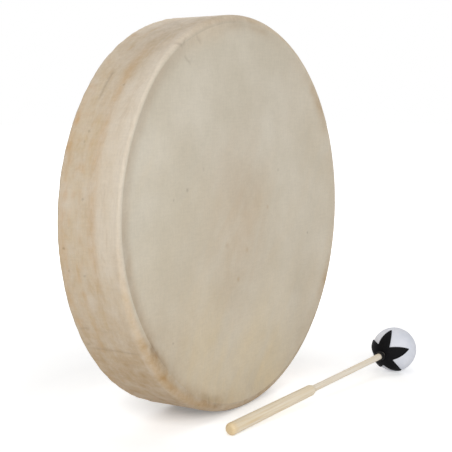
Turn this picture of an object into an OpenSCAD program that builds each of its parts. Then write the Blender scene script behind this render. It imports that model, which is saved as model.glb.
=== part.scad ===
// Hand drum standing on its rim, with its beater lying on the floor in front of it.
// Millimetres, +Z up, floor at z = 0. The drum axis runs along Y, the skin faces -Y and the origin
// is the middle of the flat on which the drum stands.

/* [Drum] */
// Outer diameter of the drum
drum_d = 400; // [300:5:600]
// Depth of the drum from the front bead to the laced back
drum_depth = 73; // [50:1:120]
// Thickness of the rawhide
skin_t = 1; // [0.6:0.1:2]
// Thickness of the bent wooden hoop
hoop_t = 9; // [8:0.5:14]
// Rounding of the hoop's edges, other than the outer front one
hoop_edge_r = 2; // [1:0.5:3]
// Radius of the rounded bead at the front edge
bead_r = 7.5; // [5:0.5:8]
// Radius of the hollow between the bead and the flat skin
hollow_r = 50; // [20:1:80]
// How far the flat skin lies behind the crest of the bead
skin_dip = 2.2; // [1:0.1:4]
// Radius where the skin turns over the back edge
back_edge_r = 3; // [2:0.5:6]
// Width of the skin turned in over the back
turn_in_w = 42; // [36:1:60]
// Radius of the scallops cut in the turned-in edge
scallop_r = 40; // [30:1:60]
// How deep the scallops cut into the turned-in edge
scallop_depth = 6; // [2:0.5:8]
// Depth of the flat on which the drum stands
rest_depth = 0.5; // [0.3:0.1:0.8]

/* [Lacing] */
// Diameter of the rawhide thong
lace_d = 3.2; // [2:0.1:4]
// Free space around the thong in a lace hole
hole_play = 0.6; // [0.4:0.1:1]
// Distance of the lace holes from the rim
hole_inset = 28; // [22:1:34]
// Free space between neighbouring strands of an arm
strand_gap = 0.6; // [0.5:0.1:1.2]
// Bend radius of the thong at a lace hole
lace_bend_r = 2.4; // [2:0.1:4]
// Bend radius where the strands fan out from an arm
fan_bend_r = 10; // [8:0.5:16]

/* [Hand grip] */
// Mean diameter of the steel ring at the centre
ring_d = 48; // [40:1:70]
// Diameter of the ring's wire
ring_wire_d = 6; // [4:0.5:8]
// Free space between the ring's wire and a thong
ring_play = 0.5; // [0.4:0.1:1]
// Distance from the ring to the start of the wrapping
wrap_setback = 15; // [12:0.5:20]
// Number of turns of the wrapping on each arm
wrap_turns = 4; // [3:1:6]
// Width of the wrapping strip
wrap_w = 7.5; // [5:0.5:10]
// Thickness of the wrapping strip
wrap_t = 1.4; // [1:0.1:2]
// Free space between two turns of the strip
wrap_gap = 0.6; // [0.5:0.1:1.5]

/* [Beater] */
// Where the handle end lies, to the side of the drum's middle
beater_x = -94; // [-200:1:100]
// How far the handle end lies in front of the drum
beater_front = 38; // [25:1:120]
// Direction in which the beater points, from the drum's width
beater_heading = -7; // [-20:0.5:5]
// Length from the handle end to the middle of the ball
beater_len = 292; // [220:1:360]
// Diameter of the handle at its end
handle_end_d = 12.6; // [10:0.1:18]
// Diameter of the handle at the shoulder
handle_neck_d = 11.6; // [10:0.1:18]
// Length of the handle up to the shoulder
handle_len = 132; // [90:1:160]
// Length of the tapered shoulder
shoulder_len = 3; // [3:0.5:16]
// Rounding of the handle end
handle_edge_r = 3.6; // [1:0.1:5]
// Rounding of the handle's shoulder
shoulder_r = 2.5; // [1:0.1:4]
// Diameter of the shaft
shaft_d = 7; // [5:0.1:9]
// Depth of the shaft's seat in the handle
seat_depth = 30; // [20:1:60]
// Diameter of the covered ball
ball_d = 50; // [36:1:70]
// Thickness of the ball's cover
cover_t = 1.4; // [0.8:0.1:2.5]
// Thickness of the star on the ball
star_t = 1; // [0.6:0.1:1.6]
// Angle from the neck to the tip of a petal
petal_reach = 75; // [60:1:84]
// Width of a petal
petal_w = 15.6; // [10:0.2:18]
// Turn of the star about the shaft
star_turn = 41; // [0:1:72]
// Diameter of the binding thread at the neck
thread_d = 1.4; // [1:0.1:2]
// Turns of the binding thread
thread_turns = 3; // [2:1:5]

/* [Hidden] */
$fn = 96;
// hair gap between pieces that lie against each other, and between the skin and the hoop
seat_gap = 0.05;
hoop_gap = 0.45;
// gap between the layers of the ball, and between the thread and the shaft
layer_gap = 0.15;
// free space between the strands of an arm and the strip round them
wrap_play = 0.3;
// free space round the shaft at the neck of the cover and the star
neck_play = 0.3;
// free space between two turns of the thread
thread_gap = 0.45;
// gap between the two ends of a thong, under the strip
butt_gap = 1.5;
// free space at the end of the shaft, in the handle's seat and in the filling
seat_end_gap = 0.5;
// how far the tip of the shoulder stands out from the shaft
shoulder_lip = 0.5;
// share of the fan bend that lies past the strip, and its distance from the strip
fan_share = 0.55;
fan_clear = 0.5;
// share of its room that the bend at a hole takes, and the one round the ring
hole_bend_share = 0.96;
ring_bend_share = 0.98;
// how the strands of an arm spread to pass the ring: distance from strip and ring, and bend radius
ease_inset = 2;
ease_r = 12;
// how far a cutting shape stands out of what it cuts
over = 1;
petal_count = 5;
// step of the measured path of a thong, as a share of its diameter
gap_step = 0.4;
drum_r = drum_d / 2;
centre_z = drum_r - rest_depth;
front_y = -drum_depth / 2;
hoop_r = drum_r - skin_t - hoop_gap;
hoop_front = skin_t + hoop_gap;
hoop_back = drum_depth - skin_t - hoop_gap;
hoop_front_r = bead_r - skin_t - hoop_gap;
bead_at = drum_r - bead_r;
hollow_reach = sqrt(pow(bead_r + hollow_r, 2) - pow(bead_r + hollow_r - skin_dip, 2));
hollow_at = bead_at - hollow_reach;
turn_in_r = drum_r - turn_in_w;

hole_count = 16;
hole_step = 360 / hole_count;
hole_at = drum_r - hole_inset;
hole_d = lace_d + 2 * hole_play;
scallop_at = turn_in_r + scallop_depth - scallop_r;

ring_r = ring_d / 2;
strand_off = (lace_d + strand_gap) / 2;
skin_back_mid = drum_depth - skin_t / 2;
strand_in = skin_back_mid - lace_bend_r;
bridge_out = skin_back_mid + lace_bend_r;
arm_y = strand_in - strand_off;
loop_r = ring_wire_d / 2 + ring_play + lace_d / 2;
wrap_pitch = wrap_w + wrap_gap;
wrap_start = ring_r + wrap_setback;
wrap_len = wrap_turns * wrap_pitch + wrap_w;
wrap_in_r = strand_off * sqrt(2) + lace_d / 2 + wrap_play;
fan_at = wrap_start + wrap_len + fan_bend_r * fan_share + fan_clear;
butt_at = wrap_start + wrap_len / 2;
// sides of a thong's section
lace_sides = 7;
// steps per turn of the strip, and of the thread
wrap_steps = 24;
thread_steps = 20;
thread_sides = 6;

ball_r = ball_d / 2;
shaft_r = shaft_d / 2;
core_r = ball_r - cover_t - layer_gap;
// how far the shaft goes past the middle of the ball
shaft_past = ball_r / 3;
shaft_end = beater_len + shaft_past;
neck_r = shaft_r + neck_play;
// the handle end and the ball rest on the floor together
rest_run = beater_len - handle_edge_r;
rest_rise = handle_end_d / 2 - handle_edge_r;
beater_tilt = asin((ball_r - handle_edge_r) / norm([rest_run, rest_rise])) - atan2(rest_rise, rest_run);
beater_z = handle_edge_r * (1 - sin(beater_tilt)) + rest_rise * cos(beater_tilt);
petal_half_len = ball_r * sin(petal_reach / 2);
petal_r = (pow(petal_half_len, 2) + pow(petal_w / 2, 2)) / petal_w;
thread_pitch = thread_d + thread_gap;
thread_at = beater_len - ball_r - star_t - thread_turns * thread_pitch - thread_d / 2;
thread_wind_r = shaft_r + thread_d / 2 + layer_gap;

function unit(a) = a / norm(a);

// points of a round bend of radius r at corner p, coming along a and leaving along b
function bend(p, a, b, r, n) =
    let (half = acos(a * b) / 2,
         inward = unit(b - a),
         along = unit(a + b),
         mid = p + inward * r / cos(half))
    [for (i = [0 : n]) let (g = half * (2 * i / n - 1)) mid + r * (along * sin(g) - inward * cos(g))];

// a path through corners, each [point, radius, steps], from its first point to its last
function rounded(c) = concat(
    [c[0][0]],
    [for (k = [1 : len(c) - 2])
        for (q = bend(c[k][0], unit(c[k][0] - c[k - 1][0]), unit(c[k + 1][0] - c[k][0]), c[k][1], c[k][2])) q],
    [c[len(c) - 1][0]]);

function heading(path, i) =
    unit(path[min(i + 1, len(path) - 1)] - path[max(i - 1, 0)]);

// a direction that no path here starts along
first_side = [0.3, 0.5, 0.8];

function square_to(side, along) = unit(side - along * (side * along));

// sideways direction at every point of a path, carried along without twist
function sideways(path) =
    [for (i = 0, s = square_to(first_side, heading(path, 0));
          i < len(path);
          i = i + 1, s = square_to(s, heading(path, min(i, len(path) - 1)))) s];

function tube_points(path, r, n) =
    let (side = sideways(path))
    [for (i = [0 : len(path) - 1])
        let (up = cross(heading(path, i), side[i]))
        for (k = [0 : n - 1]) path[i] + r * (side[i] * cos(360 * k / n) + up * sin(360 * k / n))];

function skin_faces(rings, n) = concat(
    [for (i = [0 : rings - 2]) for (k = [0 : n - 1]) [i * n + k, (i + 1) * n + k, i * n + (k + 1) % n]],
    [for (i = [0 : rings - 2]) for (k = [0 : n - 1])
        [i * n + (k + 1) % n, (i + 1) * n + k, (i + 1) * n + (k + 1) % n]],
    [[for (k = [0 : n - 1]) k]],
    [[for (k = [n - 1 : -1 : 0]) (rings - 1) * n + k]]);

module tube(path, r, n) {
    polyhedron(points = tube_points(path, r, n), faces = skin_faces(len(path), n));
}

// places [out from the centre, depth, sideways] of one arm at its angle about the drum axis
module at_arm(angle) {
    translate([0, front_y, centre_z]) rotate([0, -angle, 0]) children();
}

// puts a shape turned about Z on the drum axis, its Z along the drum's depth
module on_drum_axis() {
    translate([0, front_y, centre_z]) rotate([-90, 0, 0]) children();
}

module hoop_section() {
    inner = hoop_r - hoop_t;
    translate([inner + hoop_edge_r, hoop_front])
        square([hoop_t - hoop_edge_r - hoop_front_r, hoop_back - hoop_front]);
    translate([inner, hoop_front + hoop_edge_r])
        square([hoop_edge_r, hoop_back - hoop_front - 2 * hoop_edge_r]);
    translate([hoop_r - hoop_front_r, hoop_front + hoop_front_r])
        square([hoop_front_r - hoop_edge_r, hoop_back - hoop_front - hoop_front_r]);
    translate([hoop_r - hoop_edge_r, hoop_front + hoop_front_r])
        square([hoop_edge_r, hoop_back - hoop_front - hoop_front_r - hoop_edge_r]);
    intersection() {
        translate([hoop_r - hoop_front_r, hoop_front + hoop_front_r]) circle(hoop_front_r);
        translate([hoop_r - hoop_front_r, hoop_front]) square(hoop_front_r);
    }
    translate([inner + hoop_edge_r, hoop_front + hoop_edge_r]) circle(hoop_edge_r);
    translate([inner + hoop_edge_r, hoop_back - hoop_edge_r]) circle(hoop_edge_r);
    translate([hoop_r - hoop_edge_r, hoop_back - hoop_edge_r]) circle(hoop_edge_r);
}

// Bent wooden hoop that carries the skin, its front eased to the hollow of the skin
module frame_hoop() {
    color("#c9a877") on_drum_axis() rotate_extrude()
    difference() {
        hoop_section();
        translate([hollow_at, skin_dip - hollow_r]) circle(hollow_r + skin_t + hoop_gap);
    }
}

// all that lies behind the front of the skin, from a given depth under its surface
module behind_front(under) {
    middle = [hollow_at, skin_dip - hollow_r];
    translate([0, skin_dip + under]) square([hollow_at, bead_r]);
    difference() {
        polygon([middle, [bead_at, bead_r], [hollow_at, skin_dip + bead_r]]);
        translate(middle) circle(hollow_r + under);
    }
    translate([bead_at, bead_r]) circle(bead_r - under);
}

module skin_section() {
    intersection() {
        translate([0, -over]) square([drum_r + over, bead_r + over]);
        difference() {
            behind_front(0);
            behind_front(skin_t);
        }
    }
    translate([drum_r - skin_t, bead_r]) square([skin_t, drum_depth - bead_r - back_edge_r]);
    translate([drum_r - back_edge_r, drum_depth - back_edge_r])
    intersection() {
        difference() {
            circle(back_edge_r);
            circle(back_edge_r - skin_t);
        }
        square(back_edge_r + over);
    }
    translate([turn_in_r, drum_depth - skin_t]) square([drum_r - back_edge_r - turn_in_r, skin_t]);
}

// Rawhide drawn over the front, round the bead, down the side and in over the back
module drum_head() {
    color("#d8ccb4")
    difference() {
        on_drum_axis()
        difference() {
            rotate_extrude() skin_section();
            for (k = [0 : hole_count - 1]) {
                rotate([0, 0, (k + 0.5) * hole_step])
                    translate([hole_at, 0, drum_depth - 2 * skin_t])
                    cylinder(d = hole_d, h = 3 * skin_t);
                rotate([0, 0, k * hole_step])
                    translate([scallop_at, 0, drum_depth - 2 * skin_t])
                    cylinder(r = scallop_r, h = 3 * skin_t);
            }
        }
        translate([-drum_r, front_y - over, -drum_r]) cube([drum_d, drum_depth + 2 * over, drum_r]);
    }
}

// Steel ring at the middle of the back, held by the eight thongs
module hand_ring() {
    color("#8d9096") on_drum_axis() rotate_extrude() translate([ring_r, arm_y]) circle(d = ring_wire_d);
}

// path of one thong: out to a lace hole, across the back, in by the next hole, round the ring
function lace_path(s) =
    let (near = [hole_at * cos(hole_step / 2), s * hole_at * sin(hole_step / 2)],
         far = [hole_at * cos(hole_step * 1.5), s * hole_at * sin(hole_step * 1.5)],
         v = s * strand_off,
         upper = arm_y + strand_off,
         lower = arm_y - strand_off,
         hole_bend = lace_bend_r * hole_bend_share,
         ring_bend = loop_r * ring_bend_share,
         ease_in = wrap_start - ease_inset,
         ease_out = ring_r + ease_inset)
    rounded([
        [[butt_at + butt_gap, upper, v]],
        [[fan_at, upper, v], fan_bend_r, 2],
        [[near[0], strand_in, near[1]], hole_bend, 3],
        [[near[0], bridge_out, near[1]], hole_bend, 3],
        [[far[0], bridge_out, far[1]], hole_bend, 3],
        [[far[0], strand_in, far[1]], hole_bend, 3],
        [[fan_at, lower, v], fan_bend_r, 4],
        [[ease_in, lower, v], ease_r, 1],
        [[ease_out, arm_y - loop_r, v], ease_r, 1],
        [[ring_r - loop_r, arm_y - loop_r, v], ring_bend, 5],
        [[ring_r - loop_r, arm_y + loop_r, v], ring_bend, 5],
        [[ease_out, arm_y + loop_r, v], ease_r, 1],
        [[ease_in, upper, v], ease_r, 1],
        [[butt_at, upper, v]]]);

// One thong of the lacing; arm 0 to 3 counted from the side, s the side of the arm
module lace(arm, s) {
    color("#cdbb98") at_arm(arm * 90) tube(lace_path(s), lace_d / 2, lace_sides);
}

module lace_1() { lace(0, 1); }
module lace_2() { lace(0, -1); }
module lace_3() { lace(1, 1); }
module lace_4() { lace(1, -1); }
module lace_5() { lace(2, 1); }
module lace_6() { lace(2, -1); }
module lace_7() { lace(3, 1); }
module lace_8() { lace(3, -1); }

// corners of the strip's section, one set for each step along the arm
function wrap_points() =
    [for (i = [0 : wrap_turns * wrap_steps])
        let (g = 360 * i / wrap_steps,
             out = [0, cos(g), sin(g)],
             mid = [wrap_start + wrap_w / 2 + wrap_pitch * i / wrap_steps, arm_y, 0])
        for (q = [[-1, 0], [1, 0], [1, 1], [-1, 1]])
            mid + [q[0] * wrap_w / 2, 0, 0] + out * (wrap_in_r + q[1] * wrap_t)];

// Strip of soft leather wound round one arm of the lacing
module grip_wrap(arm) {
    color("#a98d66") at_arm(arm * 90)
    polyhedron(points = wrap_points(), faces = skin_faces(wrap_turns * wrap_steps + 1, 4));
}

module grip_wrap_1() { grip_wrap(0); }
module grip_wrap_2() { grip_wrap(1); }
module grip_wrap_3() { grip_wrap(2); }
module grip_wrap_4() { grip_wrap(3); }

// lays a piece whose axis is Z, handle end at 0, on the floor as the beater lies
module as_it_lies() {
    translate([beater_x, front_y - beater_front, beater_z])
        rotate([0, 0, beater_heading]) rotate([0, 90 - beater_tilt, 0]) children();
}

// half section of the handle: rounded end, slight taper, rounded shoulder and cone down to the shaft
module handle_section() {
    end_r = handle_end_d / 2;
    corner = [handle_neck_d / 2 - shoulder_r, handle_len - shoulder_r];
    tip = [shaft_r + shoulder_lip, handle_len + shoulder_len];
    run = tip - corner;
    turn = atan2(run[1], run[0]) - acos(shoulder_r / norm(run));
    intersection() {
        translate([end_r - handle_edge_r, handle_edge_r]) circle(handle_edge_r);
        translate([end_r - handle_edge_r, 0]) square(handle_edge_r);
    }
    square([end_r - handle_edge_r, handle_edge_r]);
    polygon([[0, handle_edge_r], [end_r, handle_edge_r], [handle_neck_d / 2, corner[1]], [0, corner[1]]]);
    intersection() {
        translate(corner) circle(shoulder_r);
        translate([0, corner[1]]) square([handle_neck_d, shoulder_r]);
    }
    polygon([[0, corner[1]], corner, corner + shoulder_r * [cos(turn), sin(turn)], tip, [0, tip[1]]]);
}

// Turned wooden handle with a seat for the shaft
module beater_handle() {
    color("#e3cfa6") as_it_lies()
    difference() {
        rotate_extrude() handle_section();
        translate([0, 0, handle_len + shoulder_len - seat_depth])
            cylinder(r = shaft_r + seat_gap, h = seat_depth + over);
    }
}

// Round shaft between the handle and the ball
module beater_shaft() {
    from = handle_len + shoulder_len - seat_depth + seat_end_gap;
    color("#e0cba2") as_it_lies() translate([0, 0, from]) cylinder(r = shaft_r, h = shaft_end - from);
}

// Firm filling of the ball
module beater_core() {
    color("#b9b2a4") as_it_lies()
    difference() {
        translate([0, 0, beater_len]) sphere(core_r);
        translate([0, 0, beater_len - ball_r])
            cylinder(r = shaft_r + seat_gap, h = ball_r + shaft_past + seat_end_gap);
    }
}

// White leather cover of the ball
module beater_cover() {
    color("#eceef4") as_it_lies()
    difference() {
        translate([0, 0, beater_len]) sphere(ball_r);
        translate([0, 0, beater_len]) sphere(core_r + layer_gap);
        translate([0, 0, beater_len - 2 * ball_r]) cylinder(r = neck_r, h = 2 * ball_r);
    }
}

// leaf shape from the neck to the tip, standing out from the ball
module petal() {
    middle = petal_r - petal_w / 2;
    rotate([0, 180 - petal_reach / 2, 0])
    intersection() {
        translate([0, middle, 0]) cylinder(r = petal_r, h = 2 * ball_r);
        translate([0, -middle, 0]) cylinder(r = petal_r, h = 2 * ball_r);
    }
}

// Black leather star of five petals that closes the cover at the neck
module beater_star() {
    color("#17171b") as_it_lies()
    translate([0, 0, beater_len])
    difference() {
        intersection() {
            sphere(ball_r + layer_gap + star_t);
            union() {
                for (k = [0 : petal_count - 1]) rotate([0, 0, star_turn + 360 * k / petal_count]) petal();
            }
        }
        sphere(ball_r + layer_gap);
        translate([0, 0, -2 * ball_r]) cylinder(r = neck_r, h = 2 * ball_r);
    }
}

function thread_path() =
    [for (i = [0 : thread_turns * thread_steps])
        let (g = 360 * i / thread_steps)
        [thread_wind_r * cos(g), thread_wind_r * sin(g), thread_at + thread_pitch * i / thread_steps]];

// Waxed thread that binds the star and the cover to the shaft
module neck_binding() {
    color("#1d1b1c") as_it_lies() tube(thread_path(), thread_d / 2, thread_sides);
}

// a path cut into short steps, for measuring how near it comes to itself
function fine_path(path, step) =
    [for (i = [0 : len(path) - 2])
        let (n = ceil(norm(path[i + 1] - path[i]) / step))
        for (k = [0 : n - 1]) path[i] + (path[i + 1] - path[i]) * k / n];

// least free space between parts of a round thong of diameter d that are further apart along it
// than a few widths, also counted across its ends
function least_gap(path, d, widths) =
    let (step = d * gap_step,
         apart = d * widths,
         q = fine_path(path, step),
         n = len(q),
         skip = ceil(apart / step))
    min([for (i = [0 : n - 1 - skip]) for (k = [i + skip : min(n - 1, n - 1 + i - skip)]) norm(q[i] - q[k])]) - d;

// least free space between one turn of the strip and the next, between the edges that face
function strip_gap(q) =
    min([for (i = [0 : len(q) / 4 - 1 - wrap_steps]) norm(q[4 * (i + wrap_steps)] - q[4 * i + 1])]);

echo(lace_least_gap = least_gap(lace_path(1), lace_d, 3));
echo(lace_end_gap = norm(lace_path(1)[0] - lace_path(1)[len(lace_path(1)) - 1]));
echo(thread_least_gap = least_gap(thread_path(), thread_d, 8));
echo(wrap_least_gap = strip_gap(wrap_points()));

frame_hoop();
drum_head();
hand_ring();
lace_1();
lace_2();
lace_3();
lace_4();
lace_5();
lace_6();
lace_7();
lace_8();
grip_wrap_1();
grip_wrap_2();
grip_wrap_3();
grip_wrap_4();
beater_handle();
beater_shaft();
beater_core();
beater_cover();
beater_star();
neck_binding();
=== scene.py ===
import math
from functools import partial
from math import acos, asin, atan2, copysign, cos, exp, hypot, pi, radians, sin, sqrt
import bpy
from mathutils import Euler, Matrix, Vector
from mathutils.noise import noise


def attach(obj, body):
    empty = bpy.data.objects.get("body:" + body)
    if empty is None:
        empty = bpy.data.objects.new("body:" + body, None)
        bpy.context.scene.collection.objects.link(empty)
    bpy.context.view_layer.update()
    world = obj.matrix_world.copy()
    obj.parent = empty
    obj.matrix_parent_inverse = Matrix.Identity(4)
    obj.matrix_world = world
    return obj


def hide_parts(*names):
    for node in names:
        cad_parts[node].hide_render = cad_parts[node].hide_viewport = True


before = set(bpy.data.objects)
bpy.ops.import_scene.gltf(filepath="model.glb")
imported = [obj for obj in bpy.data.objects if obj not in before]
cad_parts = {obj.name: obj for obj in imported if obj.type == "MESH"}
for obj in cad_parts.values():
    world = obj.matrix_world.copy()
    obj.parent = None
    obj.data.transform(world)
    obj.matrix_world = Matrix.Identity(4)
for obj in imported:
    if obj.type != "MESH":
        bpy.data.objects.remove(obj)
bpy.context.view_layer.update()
scene = bpy.context.scene
scene.view_settings.view_transform = "Standard"
mm = 0.001
tau = 2 * pi

# the drum as it stands, in millimetres
drum = {"radius": 200.0, "depth": 73.0, "centreHeight": 199.5, "frontY": -36.5}

# the beater as it lies on the floor, in millimetres and degrees
beater = {"length": 292.0, "endX": -94.0, "endY": -74.5, "heading": -7.0, "ballRadius": 25.0,
          "neckRadius": 3.9, "shaftRadius": 3.5, "handleEndRadius": 6.3, "handleEdge": 3.6}

# inputs of a colour mix, which go by number because their names are shared
mixAmount, mixUnder, mixOver = 0, 6, 7


def linear(hexColour):
    parts = [int(hexColour[i:i + 2], 16) / 255 for i in (1, 3, 5)]
    return (*[c / 12.92 if c <= 0.04045 else ((c + 0.055) / 1.055) ** 2.4 for c in parts], 1.0)


def addNode(tree, kind, settings=None, links=None):
    # a setting is an input or else a property, or the stops of a ramp, or the span of a map range: from low,
    # from high, to low, to high; a link is an output, or a node for its first live output
    made = tree.nodes.new("ShaderNode" + kind)
    for key, value in (settings or {}).items():
        if key == "ramp":
            for spot, colour in value[2:]:
                made.color_ramp.elements.new(spot)
            for element, (spot, colour) in zip(made.color_ramp.elements, sorted(value)):
                element.position = spot
                element.color = linear(colour) if isinstance(colour, str) else colour
        elif key == "span":
            for index, limit in enumerate(value):
                made.inputs[index + 1].default_value = limit
        elif isinstance(key, int) or key in made.inputs:
            made.inputs[key].default_value = linear(value) if isinstance(value, str) else value
        else:
            setattr(made, key, value)
    for key, source in (links or {}).items():
        if isinstance(source, bpy.types.Node):
            source = next(output for output in source.outputs if output.enabled)
        tree.links.new(source, made.inputs[key])
    return made


def layPattern(add, place, sizes, settings, kind="TexNoise"):
    # a pattern of this real size in millimetres, or of three sizes across, deep and up
    sizes = sizes if isinstance(sizes, tuple) else (sizes,) * 3
    laid = add("Mapping", {"Scale": [1 / (size * mm) for size in sizes]}, {"Vector": place})
    return add(kind, {"Scale": 1.0, **settings}, {"Vector": laid})


def startMaterial(name):
    material = bpy.data.materials.new(name)
    material.use_nodes = True
    material.node_tree.nodes.clear()
    add = partial(addNode, material.node_tree)
    return material, add, add("TexCoord").outputs["Object"]


def makeSurface(name, look):
    # a tone with colours that follow it, lines in another colour, and a grain in relief
    material, add, place = startMaterial(name)
    if "lie" in look:
        start, turn = look["lie"]    # for a pattern along a piece that lies aslant
        place = add("Mapping", {"vector_type": "TEXTURE", "Location": start, "Rotation": turn},
                    {"Vector": place})
    grain = tone = layPattern(add, place, look["toneMm"], look["tone"])
    colour = add("ValToRGB", {"ramp": look["ramp"]}, {"Fac": tone})
    tints = []
    if "line" in look:
        sizes, settings, span, hexColour = look["line"]
        tints.append((layPattern(add, place, sizes, settings), span, hexColour))
    if "end" in look:
        size, most, hexColour = look["end"]    # open end grain, which takes up more oil
        tints.append((add("SeparateXYZ", links={0: place}), (size * mm, 0, 0, most), hexColour))
    for pattern, span, hexColour in tints:
        amount = add("MapRange", {"span": span}, {"Value": pattern})
        colour = add("Mix", {"data_type": "RGBA", mixOver: hexColour}, {mixAmount: amount, mixUnder: colour})
    if "grain" in look:
        kind, size, settings = look["grain"]
        grain = layPattern(add, place, size, settings, kind)
    links = {"Base Color": colour}
    if "bump" in look:
        strength, height = look["bump"]
        links["Normal"] = add("Bump", {"Strength": strength, "Distance": height * mm}, {"Height": grain})
    if "rough" in look:
        links["Roughness"] = add("MapRange", {"span": (0, 1, *look["rough"])}, {"Value": tone})
    shader = add("BsdfPrincipled", look["shader"], links)
    add("OutputMaterial", links={"Surface": shader})
    return material


def fade(value, low, high):
    # from 0 at low to 1 at high, which may be the lesser of the two
    t = min(1.0, max(0.0, (value - low) / (high - low)))
    return t * t * (3 - 2 * t)


def addObject(name, data):
    made = bpy.data.objects.new(name, data)
    scene.collection.objects.link(made)
    return made


# camera at the photograph's place: where it stands and what it looks at, in millimetres
cameraSet = {"eye": (-929.9, -640.7, 336.1), "target": (8.03, -8.41, 185.42), "roll": -1.5,
             "focalPixels": 1100, "framePixels": 452, "sensorMm": 36.0, "clip": (0.05, 50)}


def placeCamera(c):
    lens = bpy.data.cameras.new("camera")
    lens.sensor_fit = "HORIZONTAL"
    lens.sensor_width = c["sensorMm"]
    lens.lens = c["focalPixels"] * c["sensorMm"] / c["framePixels"]
    lens.clip_start, lens.clip_end = c["clip"]
    holder = addObject("camera", lens)
    eye = Vector(c["eye"]) * mm
    back = (eye - Vector(c["target"]) * mm).normalized()
    right = Vector((0, 0, 1)).cross(back).normalized()
    aim = Matrix((right, back.cross(right), back)).transposed().to_4x4()
    holder.matrix_world = Matrix.Translation(eye) @ aim @ Matrix.Rotation(radians(c["roll"]), 4, "Z")
    scene.camera = holder


placeCamera(cameraSet)
print("camera placed")


def drumPlace(across, depth, up):
    # from the middle of the drum's front
    return Vector((across, drum["frontY"] + depth, drum["centreHeight"] + up)) * mm


def drumPoint(angle, r, depth):
    return drumPlace(r * cos(angle), depth, r * sin(angle))


def gridFaces(rings, n):
    # quads between rings of n points that follow each other
    return [(i * n + k, i * n + (k + 1) % n, (i + 1) * n + (k + 1) % n, (i + 1) * n + k)
            for i in range(rings - 1) for k in range(n)]


def makePiece(name, shape, toPlace, body, material, sharpDegrees=40):
    # a shape is its points and faces, and toPlace gives each point its place in the shared frame
    points, faces = shape
    mesh = bpy.data.meshes.new(name)
    mesh.from_pydata([tuple(toPlace(p)) for p in points], [], faces)
    mesh.validate()
    mesh.shade_smooth()
    mesh.set_sharp_from_angle(angle=radians(sharpDegrees))
    mesh.materials.append(material)
    piece = addObject(name, mesh)
    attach(piece, body)
    return piece


# what the skin's mesh carries at each point, for its material to read
skinLayers = ("stain", "soil", "wall", "pale", "warm", "straw")

# goat rawhide: scraped and dried skin, matt and faintly waxy, cream with brown stains and long fibres,
# darkened with painted shade and lightened with a painted highlight where its mesh carries them
rawhideLook = {
    "cream": "#d1c9b9", "greyCream": "#c7beac", "warm": "#c3b29c", "straw": "#dfca9f",
    "wallPale": "#dfd3c1", "wallMid": "#d5c7b3", "wallBrown": "#c5a876", "rust": "#ca9d68",
    # the soil colour darkens both real dirt and painted shade
    "stain": "#a68049", "soil": "#6b553c",
    # sizes of the patterns in millimetres, along and across where they are long
    "mottleMm": 64, "blotchMm": 17, "fleckMm": 4.5, "poreMm": 1.6, "streakMm": (85, 24), "wispMm": (70, 12),
    "fibreMm": (14, 1.8), "scratchMm": (18, 1.3), "runMm": (30, 9),
    # lean of the streaks in degrees, how much flecks and pores count beside the coarser pattern they join
    "streakLean": 38, "fleckShare": 0.35, "poreShare": 0.5,
    # small marks: size of their rags and how far these reach, and the share of a mark that is fully dark
    "ragMm": 1.5, "ragReachMm": 3, "speckCore": 0.2,
    # each mark: angle in degrees, distance from the middle, depth, size in millimetres, strength
    "specks": [(160, 100, 2, 2.6, 0.3), (167, 119, 2, 2.0, 0.25), (142, 84, 2, 2.5, 0.15),
               (29, 82, 2, 2.4, 0.16), (345, 137, 2, 2.0, 0.32), (221, 164, 2, 1.9, 0.35),
               (170, 200, 42, 2.0, 0.3), (183, 200, 65, 1.9, 0.42), (189, 200, 62, 1.8, 0.3),
               (190, 200, 44, 1.8, 0.25), (138, 200, 29, 2.4, 0.3), (152, 200, 49, 2.2, 0.3),
               (155, 200, 51, 2.0, 0.25)],
    "yellowSpecks": [(3, 49, 2, 3.0, 0.3), (281, 38, 2, 4.0, 0.28), (261, 66, 2, 4.0, 0.34),
                     (224, 40, 2, 4.5, 0.2)]}


def layTint(add, base, layer, pattern, hexColour):
    # a tint where the skin carries that layer, broken up by a pattern
    amount = add("Math", {"operation": "MULTIPLY", "use_clamp": True}, {0: pattern, 1: layer})
    return add("Mix", {"data_type": "RGBA", mixOver: hexColour}, {mixAmount: amount, mixUnder: base})


def faceColour(add, place, look, layers, mottle):
    # soft clouds, with warm and straw tints in streaks that lean to the right
    clouds = add("MapRange", {"span": (0.36, 0.66, 0, 1)}, {"Value": mottle})
    base = add("Mix", {"data_type": "RGBA", mixUnder: look["cream"], mixOver: look["greyCream"]},
               {mixAmount: clouds})
    along, across = look["streakMm"]
    lean = add("Mapping", {"Rotation": (0, -radians(look["streakLean"]), 0)}, {"Vector": place})
    streak = layPattern(add, lean, (across, across, along),
                        {"Detail": 5.0, "Roughness": 0.55, "Distortion": 0.4})
    spread = add("MapRange", {"span": (0.34, 0.66, 0.35, 1.4)}, {"Value": streak})
    for key in ("warm", "straw"):
        base = layTint(add, base, layers[key], spread, look[key])
    return base


def sideColour(add, look, layers, wisp, blotch):
    # brown wisps that run round the hoop, paler towards the front edge and palest just behind it, where a
    # highlight of the bead is painted, with rusty rings
    both = add("Math", {"operation": "ADD"}, {0: blotch, 1: wisp})
    spread = add("MapRange", {"span": (0.78, 1.34, 0, 0.58)}, {"Value": both})
    side = add("Mix", {"data_type": "RGBA", mixUnder: look["wallMid"], mixOver: look["wallBrown"]},
               {mixAmount: spread})
    side = add("Mix", {"data_type": "RGBA", mixOver: look["wallPale"]},
               {mixAmount: layers["pale"], mixUnder: side})
    patches = add("MapRange", {"span": (0.78, 1.3, 0.45, 1.35)}, {"Value": both})
    return layTint(add, side, layers["warm"], patches, look["rust"])


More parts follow.
